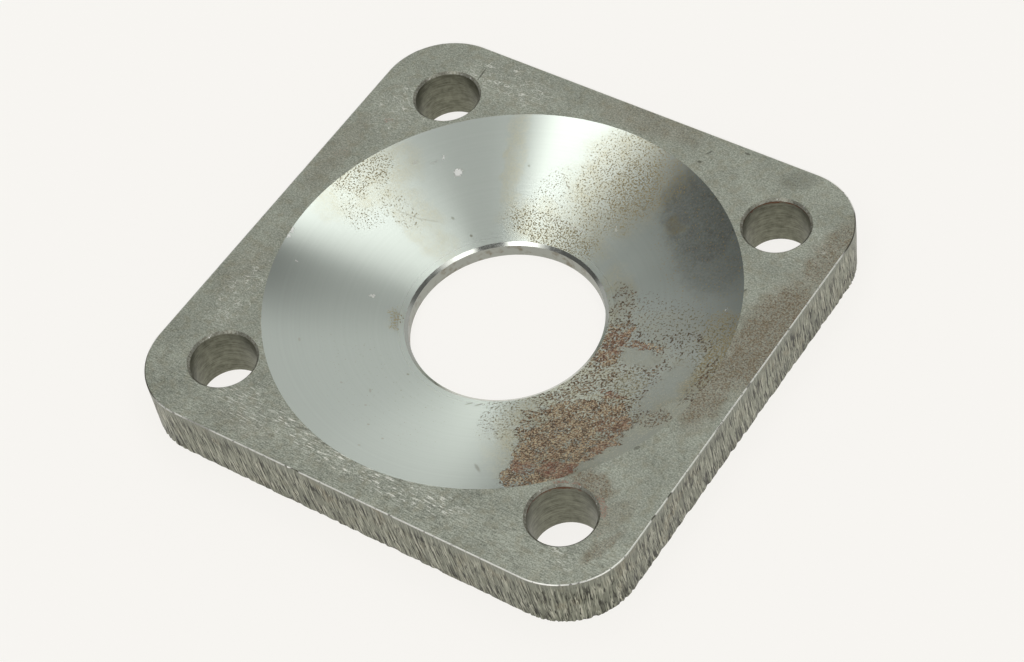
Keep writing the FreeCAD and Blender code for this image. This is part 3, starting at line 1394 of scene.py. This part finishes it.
@dataclass(frozen=True)
class WornRim(Finish):
    """The rim of a bolt hole, deburred by hand: grey, speckled with rust and with small painted
    highlights.
    """

    name: str = "worn_rim"
    steel: str = "A3A496"
    dark: str = "7B786A"
    rust: str = "70503F"
    bright: str = "F0F0E8"
    rough: float = 0.34

    def make(self) -> bpy.types.Material:
        """Makes the material.

        Returns:
            The finished material.
        """
        material, graph, place = self.start()
        grit = grain(graph, place, 0.4, detail=3.0, seed=16.0, flat=False)
        patchy = grain(graph, place, 1.6, detail=2.0, seed=17.0, flat=False)
        shade = graph.add("MapRange", {"Value": grit, "From Min": 0.36, "From Max": 0.56})
        colour = graph.add("MixRGB", {0: shade, 1: linear(self.dark), 2: linear(self.steel)})
        right = graph.add("SeparateXYZ", {0: place}).outputs[0]
        rusty = graph.add("MapRange", {
            "Value": right, "From Min": RUSTY_FROM_X * MM, "From Max": RUSTY_ALL_X * MM, "To Max": 0.5,
        })
        rusty = speckle(graph, rusty, graph.add("MixRGB", {0: 0.5, 1: grit, 2: patchy}), 0.2)
        colour = graph.add("MixRGB", {0: rusty, 1: colour, 2: linear(self.rust)})
        # Small near-white specks all round the rim: painted highlights.
        nicked = grain(graph, place, 0.55, detail=2.0, seed=18.0, flat=False)
        nicked = graph.add("MapRange", {"Value": nicked, "From Min": 0.64, "From Max": 0.72})
        colour = graph.add("MixRGB", {0: nicked, 1: colour, 2: linear(self.bright)})
        metal = graph.add("MapRange", {"Value": rusty, "To Min": 0.7, "To Max": 0.3})
        shader = graph.add("BsdfPrincipled", {
            "Base Color": colour, "Metallic": metal, "Roughness": self.rough,
        })
        graph.add("OutputMaterial", {"Surface": shader})
        return material


@dataclass(frozen=True)
class BoreLand(Finish):
    """The short straight wall of the bore: grey satin with a little brown bloom."""

    name: str = "bore_land"
    steel: str = "A4A69E"
    bloom: str = "7C7462"
    rough: float = 0.4

    def make(self) -> bpy.types.Material:
        """Makes the material.

        Returns:
            The finished material.
        """
        material, graph, place = self.start()
        banded = graph.add("Mapping", {"Vector": place, "Scale": (0.3, 0.3, 3.0)})
        bands = grain(graph, banded, 0.8, detail=2.0, seed=10.0, flat=False)
        spots = grain(graph, place, 1.6, detail=3.0, seed=11.0, flat=False)
        stained = graph.add("MapRange", {
            "Value": spots, "From Min": 0.5, "From Max": 0.68, "To Max": 0.8,
        })
        colour = graph.add("MixRGB", {0: stained, 1: linear(self.steel), 2: linear(self.bloom)})
        relief = graph.add("Bump", {"Height": bands, "Strength": 0.4, "Distance": 0.03 * MM})
        shader = graph.add("BsdfPrincipled", {
            "Base Color": colour, "Metallic": 0.9, "Roughness": self.rough, "Normal": relief,
        })
        graph.add("OutputMaterial", {"Surface": shader})
        return material


@dataclass(frozen=True)
class LaserCutSide(Finish):
    """Laser cut steel: ribs with painted highlights and oxide dark grooves, partly painted shade, that
    trail from a smoother upper band.
    """

    name: str = "laser_cut_side"
    upper: str = "898C80"
    web: str = "808273"
    web_light: str = "9A9C8B"
    rib: str = "C2C1B0"
    # Oxide colour of the grooves, also the colour of the painted shade in them.
    groove: str = "3A392F"
    oxide: str = "26241C"
    bloom: str = "877658"
    rough: float = 0.42
    band_top: float = 0.97
    band_foot: float = 0.7
    band_share: float = 0.4

    def make(self) -> bpy.types.Material:
        """Makes the material.

        Returns:
            The finished material.
        """
        material, graph, place = self.start()
        cut = graph.add("UVMap", uv_map="cut")
        height = graph.add("SeparateXYZ", {0: cut}).outputs[1]
        # How much of the drag lines shows: less in the smooth upper band, all below it.
        low = graph.add("MapRange", {
            "Value": height, "From Min": self.sizes.thickness * self.band_top,
            "From Max": self.sizes.thickness * self.band_foot, "To Min": self.band_share,
        }, interpolation_type="SMOOTHSTEP")

        def along_cut(
            per_side: float, per_height: float, seed: float, detail: float = 2.0
        ) -> bpy.types.Node:
            """Noise on the side's map, stretched down the cut as the drag lines are.

            Args:
                per_side: Features to the millimetre along the side.
                per_height: Features to the millimetre up the side.
                seed: Another value gives another part of the pattern.
                detail: How many finer layers there are.

            Returns:
                The noise node.
            """
            at = graph.add("Mapping", {
                "Vector": cut, "Location": (seed, seed * 0.7, 0), "Scale": (per_side, per_height, 1.0),
            })
            return graph.add("TexNoise", {
                0: at, "Scale": 1.0, "Detail": detail,
            }, noise_dimensions="2D")

        waves = along_cut(2.5, 0.2, 3.0, 1.0)
        ripples = along_cut(3.2, 0.16, 17.0, 1.0)
        patches = along_cut(0.7, 0.35, 31.0)
        groove = graph.add("Attribute", attribute_name="groove").outputs["Fac"]
        dark = graph.add("Math", {
            0: graph.add("MapRange", {"Value": waves, "From Min": 0.43, "From Max": 0.37}),
            1: hairlines(graph, ripples, 0.47, 0.04),
        }, operation="MAXIMUM")
        # Thin pale lines beside the dark ones: painted highlights on the ridges.
        light = graph.add("Math", {
            0: graph.add("MapRange", {"Value": waves, "From Min": 0.61, "From Max": 0.68}),
            1: hairlines(graph, ripples, 0.57, 0.04),
        }, operation="MAXIMUM")
        broken = graph.add("MapRange", {
            "Value": patches, "From Min": 0.4, "From Max": 0.58, "To Min": 0.45,
        })
        strength = graph.add("Math", {0: low, 1: broken}, operation="MULTIPLY")
        dark = graph.add("Math", {0: dark, 1: strength}, operation="MULTIPLY")
        light = graph.add("Math", {0: light, 1: strength}, operation="MULTIPLY")
        pitted = along_cut(3.2, 0.35, 41.0)
        pitted = graph.add("MapRange", {"Value": pitted, "From Min": 0.62, "From Max": 0.72})
        pitted = graph.add("Math", {0: pitted, 1: low}, operation="MULTIPLY")

        shades = along_cut(1.6, 0.12, 57.0, 3.0)
        shades = graph.add("MapRange", {"Value": shades, "From Min": 0.35, "From Max": 0.65})
        colour = graph.add("MixRGB", {0: shades, 1: linear(self.web), 2: linear(self.web_light)})
        smooth = graph.add("MapRange", {
            "Value": low, "From Min": self.band_share, "To Min": 0.7, "To Max": 0.0,
        })
        colour = graph.add("MixRGB", {0: smooth, 1: colour, 2: linear(self.upper)})
        stains = grain(graph, place, 3.5, detail=3.0, seed=12.0, flat=False)
        stained = graph.add("MapRange", {
            "Value": stains, "From Min": 0.54, "From Max": 0.72, "To Max": 0.4,
        })
        colour = graph.add("MixRGB", {0: stained, 1: colour, 2: linear(self.bloom)})
        # Darker with the depth of the cut's grooves: partly oxide in them, partly painted shade.
        deep = graph.add("MapRange", {
            "Value": groove, "From Min": 0.4, "From Max": 1.1, "To Max": 0.45,
        })
        colour = graph.add("MixRGB", {0: deep, 1: colour, 2: linear(self.groove)})
        colour = graph.add("MixRGB", {0: light, 1: colour, 2: linear(self.rib)})
        colour = graph.add("MixRGB", {0: dark, 1: colour, 2: linear(self.groove)})
        colour = graph.add("MixRGB", {0: pitted, 1: colour, 2: linear(self.oxide)})
        bumps = graph.add("Math", {0: light, 1: dark}, operation="SUBTRACT")
        bumps = graph.add("Math", {0: bumps, 1: pitted}, operation="SUBTRACT")
        relief = graph.add("Bump", {"Height": bumps, "Strength": 0.6, "Distance": 0.06 * MM})
        shader = graph.add("BsdfPrincipled", {
            "Base Color": colour, "Metallic": 0.8, "Roughness": self.rough, "Normal": relief,
        })
        graph.add("OutputMaterial", {"Surface": shader})
        return material


@dataclass(frozen=True)
class BurnishedEdge(Finish):
    """The broken top edge with a painted highlight: a thin near-white line of short dashes, with dull
    gaps.

    Dashes say where the painted line is less broken, and dulls where darker gaps break it.
    """

    name: str = "edge_painted_highlight"
    # Near-white colour of the painted highlight along the crest.
    steel: str = "F2F2EA"
    dull: str = "5A584E"
    flank: str = "86877A"
    rough: float = 0.28
    crest_foot: float = 0.16
    crest_full: float = 0.11
    dashes: tuple[Patch, ...] = (
        Patch(10.0, -45.0, 60.0, 2.0, 0, 0.08),
        Patch(45.0, -10.0, 50.0, 2.0, 90, 0.06),
        Patch(0.0, 45.0, 80.0, 2.0, 0, 0.2),
        Patch(-45.0, 0.0, 80.0, 2.0, 90, 0.2),
    )
    dulls: tuple[Patch, ...] = (
        Patch(-41.0, -40.8, 7.0, 2.0, -45, 1.0),
        Patch(44.0, 36.5, 7.0, 1.6, -72, 1.0),
        Patch(-9.0, -45.0, 1.1, 0.8, 0, 1.0),
        Patch(45.0, -26.3, 0.8, 0.8, 0, 1.0),
        Patch(45.0, -21.6, 0.9, 0.8, 0, 1.0),
        Patch(45.0, 2.0, 0.7, 0.8, 0, 0.8),
        Patch(-28.0, -45.0, 3.5, 0.8, 0, 0.5),
    )

    def make(self) -> bpy.types.Material:
        """Makes the material.

        Returns:
            The finished material.
        """
        material, graph, place = self.start()
        gaps = grain(graph, place, 0.9, detail=2.0, seed=13.0, flat=False)
        dashed = spread(graph, place, self.dashes)
        gaps = graph.add("Math", {0: gaps, 1: dashed}, operation="ADD")
        worn = graph.add("MapRange", {
            "Value": gaps, "From Min": 0.47, "From Max": 0.38, "To Max": 0.8,
        })
        worn = graph.add("Math", {0: worn, 1: spread(graph, place, self.dulls)}, operation="MAXIMUM")
        colour = graph.add("MixRGB", {0: worn, 1: linear(self.steel), 2: linear(self.dull)})
        height = graph.add("SeparateXYZ", {0: place}).outputs[2]
        # Only the crest of the round edge carries the painted highlight, its flank has the side's dull
        # colour.
        crest = graph.add("MapRange", {
            "Value": height, "From Min": (self.sizes.thickness - self.crest_foot) * MM,
            "From Max": (self.sizes.thickness - self.crest_full) * MM,
        })
        colour = graph.add("MixRGB", {0: crest, 1: linear(self.flank), 2: colour})
        shader = graph.add("BsdfPrincipled", {
            "Base Color": colour, "Metallic": 0.6, "Roughness": self.rough,
        })
        graph.add("OutputMaterial", {"Surface": shader})
        return material


@dataclass(frozen=True)
class DrilledWall(Finish):
    """Drilled steel: dark olive with rings left by the drill and a rust tinge under the rim."""

    name: str = "drilled_wall"
    steel: str = "868776"
    dark: str = "5C5C4E"
    rust: str = "6A4A38"
    rough: float = 0.38
    tinge_width: float = 1.6

    def make(self) -> bpy.types.Material:
        """Makes the material.

        Returns:
            The finished material.
        """
        material, graph, place = self.start()
        ringed = graph.add("Mapping", {"Vector": place, "Scale": (0.16, 0.16, 2.4)})
        rings = grain(graph, ringed, 0.5, detail=3.0, seed=14.0, flat=False)
        spots = grain(graph, place, 1.1, detail=3.0, seed=15.0, flat=False)
        depth = graph.add("MixRGB", {0: 0.45, 1: rings, 2: spots})
        shade = graph.add("MapRange", {"Value": depth, "From Min": 0.36, "From Max": 0.62})
        colour = graph.add("MixRGB", {0: shade, 1: linear(self.dark), 2: linear(self.steel)})
        height = graph.add("SeparateXYZ", {0: place}).outputs[2]
        top = self.sizes.thickness
        rim = graph.add("MapRange", {
            "Value": height, "From Min": (top - self.tinge_width) * MM,
            "From Max": (top - self.sizes.rim_break) * MM,
        })
        right = graph.add("SeparateXYZ", {0: place}).outputs[0]
        right = graph.add("MapRange", {
            "Value": right, "From Min": RUSTY_FROM_X * MM, "From Max": RUSTY_ALL_X * MM,
        })
        rim = graph.add("Math", {0: rim, 1: right}, operation="MULTIPLY")
        rusty = speckle(graph, rim, spots, 0.2)
        colour = graph.add("MixRGB", {0: rusty, 1: colour, 2: linear(self.rust)})
        relief = graph.add("Bump", {"Height": depth, "Strength": 0.3, "Distance": 0.03 * MM})
        shader = graph.add("BsdfPrincipled", {
            "Base Color": colour, "Metallic": 0.85, "Roughness": self.rough, "Normal": relief,
        })
        graph.add("OutputMaterial", {"Surface": shader})
        return material


def finishes(sizes: FlangeSizes) -> dict[Zone, Finish]:
    """The flange's finishes.

    Args:
        sizes: The flange's sizes.

    Returns:
        The finish of each zone, in the order of the zones.
    """
    return {
        Zone.PLATE_FACE: MillFace(sizes),
        Zone.SEAT: TurnedSeat(sizes),
        Zone.LIP: TurnedEdge(sizes),
        Zone.LAND: BoreLand(sizes),
        Zone.LASER_SIDE: LaserCutSide(sizes),
        Zone.TOP_EDGE: BurnishedEdge(sizes),
        Zone.HOLE_WALL: DrilledWall(sizes),
        Zone.HOLE_RIM: WornRim(sizes),
    }


@dataclass(frozen=True)
class Card:
    """A panel of the studio, lit or dark: a soft edged rectangle of the sky over the flange."""

    azimuth_deg: float
    half_width_deg: float
    low_deg: float
    high_deg: float
    level: float
    soft_side_deg: float = 6.0
    soft_low_deg: float = 6.0
    soft_high_deg: float = 6.0

    def hang(self, graph: Graph, sky: Source, behind: Source) -> bpy.types.Node:
        """Hangs the panel in front of what is there already.

        Args:
            graph: The world's graph.
            sky: The direction looked at.
            behind: The light level behind the panel.

        Returns:
            The node with the light level, panel included.
        """
        middle = (self.low_deg + self.high_deg) / 2
        faced = graph.add("Mapping", {
            "Vector": sky,
            "Rotation": (0, math.radians(-middle), math.radians(self.azimuth_deg)),
        }, vector_type="TEXTURE")
        axes = graph.add("SeparateXYZ", {0: faced}).outputs
        across = graph.add("Math", {0: axes[1]}, operation="ABSOLUTE")
        across = graph.add("Math", {0: across, 1: axes[0]}, operation="ARCTAN2")
        upward = graph.add("Math", {0: axes[2], 1: axes[0]}, operation="ARCTAN2")
        half = (self.high_deg - self.low_deg) / 2
        cover = None
        spans = (
            (across, self.half_width_deg, -self.soft_side_deg),
            (upward, -half, self.soft_low_deg),
            (upward, half, -self.soft_high_deg),
        )
        for angle, border, soft in spans:
            span = graph.add("MapRange", {
                "Value": angle, "From Min": math.radians(border - soft / 2),
                "From Max": math.radians(border + soft / 2),
            }, interpolation_type="SMOOTHSTEP")
            if cover is not None:
                span = graph.add("Math", {0: cover, 1: span}, operation="MULTIPLY")
            cover = span
        return graph.add("MixRGB", {0: cover, 1: behind, 2: (*[self.level] * 3, 1)})


@dataclass
class Studio:
    """Plain pale floor in a softly lit room, hung with lit panels and dark ones.

    The panels are the lamps and gaps that the turned seat draws out into rays, so each stands
    where the photograph's seat has its ray, and reaches as far up it.
    """

    backdrop: str = "F6F4F0"
    floor_span: float = 6000.0
    floor_gap: float = 0.02
    floor_show: float = 0.88
    floor_glow: float = 1.05
    room_level: float = 0.53
    cards: tuple[Card, ...] = (
        Card(114, 15, -5, 53, 0.59, 2, 8.5, 4.5),
        Card(144, 16, -27, 27.5, 0.02, 11, 6, 22),
        Card(154.5, 20, 29.5, 66, 0.02, 2, 1.5, 30),
        Card(83.5, 10, 41, 57, 0.02, 4, 22.5, 1.5),
        Card(-157.5, 55, 65, 78, 1.84, 2.5, 8.5, 6.5),
        Card(69, 48.5, 60.5, 74.5, 1.74, 40, 1.5, 13),
        Card(-140, 26, 22, 56, 0.12, 8, 8, 8),
        Card(32, 22, 24, 56, 0.15, 8, 8, 8),
        Card(-55, 22, 51, 77, 0.13, 6, 6, 4),
        Card(-89, 8, 44, 70, 3.3, 3, 6, 4),
        Card(-9, 7, 44, 70, 2.5, 3, 6, 4),
    )

    def build(self) -> None:
        """Sets up floor and light."""
        self.lay_floor()
        self.light_room()
        log.info("studio: %d panels", len(self.cards))

    def lay_floor(self) -> None:
        """Lays the floor, which shows the backdrop's colour and keeps a light shadow."""
        bpy.ops.object.select_all(action="DESELECT")
        under = (0, 0, -self.floor_gap * MM)
        bpy.ops.mesh.primitive_plane_add(size=self.floor_span * MM, location=under)
        floor = bpy.context.object
        floor.name = "floor"
        material = bpy.data.materials.new("pale_floor")
        material.use_nodes = True
        graph = Graph(material.node_tree)
        rays = graph.add("LightPath").outputs
        seen = graph.add("Math", {0: rays["Is Camera Ray"], 1: rays["Is Glossy Ray"]}, operation="ADD")
        seen = graph.add("Math", {0: seen, 1: rays["Is Transmission Ray"]}, operation="ADD")
        # What is seen is mostly glow, with a little lit paper in it that holds the shadow.
        share = graph.add("Math", {0: seen, 1: self.floor_show}, operation="MULTIPLY")
        paper = graph.add("BsdfDiffuse", {"Color": linear(self.backdrop)})
        glow = graph.add("Emission", {"Color": linear(self.backdrop), "Strength": self.floor_glow})
        mix = graph.add("MixShader", {0: share, 1: paper, 2: glow})
        graph.add("OutputMaterial", {"Surface": mix})
        floor.data.materials.append(material)

    def light_room(self) -> None:
        """Lights the room and shows the backdrop's colour to the camera."""
        world = bpy.data.worlds.new("room")
        bpy.context.scene.world = world
        world.use_nodes = True
        graph = Graph(world.node_tree)
        sky = graph.add("TexCoord").outputs["Generated"]
        level = graph.add("Value")
        level.outputs[0].default_value = self.room_level
        for card in self.cards:
            level = card.hang(graph, sky, level)
        light = graph.add("Background", {"Color": level, "Strength": 1.0})
        backdrop = graph.add("Background", {"Color": linear(self.backdrop), "Strength": 1.0})
        seen = graph.add("LightPath").outputs["Is Camera Ray"]
        mix = graph.add("MixShader", {0: seen, 1: light, 2: backdrop})
        graph.add("OutputWorld", {"Surface": mix})


@dataclass(frozen=True)
class PhotoCamera:
    """The camera at the photograph's place, found by fitting the flange's edges.

    It looks at the middle of the top face from the distance, and is then shifted right and up.
    Lengths are millimetres.
    """

    azimuth_deg: float = 41.821
    elevation_deg: float = 50.134
    roll_deg: float = -11.1685
    distance: float = 453.68
    right: float = 1.827
    up: float = -6.318
    lens: float = 99.172
    film_width: float = 36.0
    near_limit: float = 10.0

    def place(self, sizes: FlangeSizes) -> bpy.types.Object:
        """Adds the camera and makes it the scene's own.

        Args:
            sizes: The flange's sizes.

        Returns:
            The camera.
        """
        azimuth = math.radians(self.azimuth_deg)
        elevation = math.radians(self.elevation_deg)
        flat = math.cos(elevation)
        back = Vector((math.sin(azimuth) * flat, -math.cos(azimuth) * flat, math.sin(elevation)))
        level = Vector((0, 0, 1)).cross(back).normalized()
        roll = Matrix.Rotation(math.radians(self.roll_deg), 3, back)
        right = roll @ level
        up = back.cross(right)
        target = Vector((0, 0, sizes.thickness))
        place = target + back * self.distance + right * self.right + up * self.up
        bpy.ops.object.select_all(action="DESELECT")
        bpy.ops.object.camera_add(location=place * MM)
        camera = bpy.context.object
        camera.name = "photo_camera"
        camera.rotation_euler = Matrix((right, up, back)).transposed().to_euler()
        camera.data.sensor_width = self.film_width
        camera.data.lens = self.lens
        camera.data.clip_start = self.near_limit * MM
        bpy.context.scene.camera = camera
        return camera


def main() -> None:
    """Builds the flange, its studio and its camera."""
    logging.basicConfig(level=logging.INFO, format="%(name)s: %(message)s")
    bpy.context.scene.view_settings.view_transform = "Standard"
    sizes = FlangeSizes.from_frame()
    body = FlangeBody(sizes, CutRelief(sizes)).build()
    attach(body, BODY)
    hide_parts(NODE)
    log.info("%s: %d faces", body.name, len(body.data.polygons))
    Studio().build()
    PhotoCamera().place(sizes)


if __name__ == "__main__":
    main()
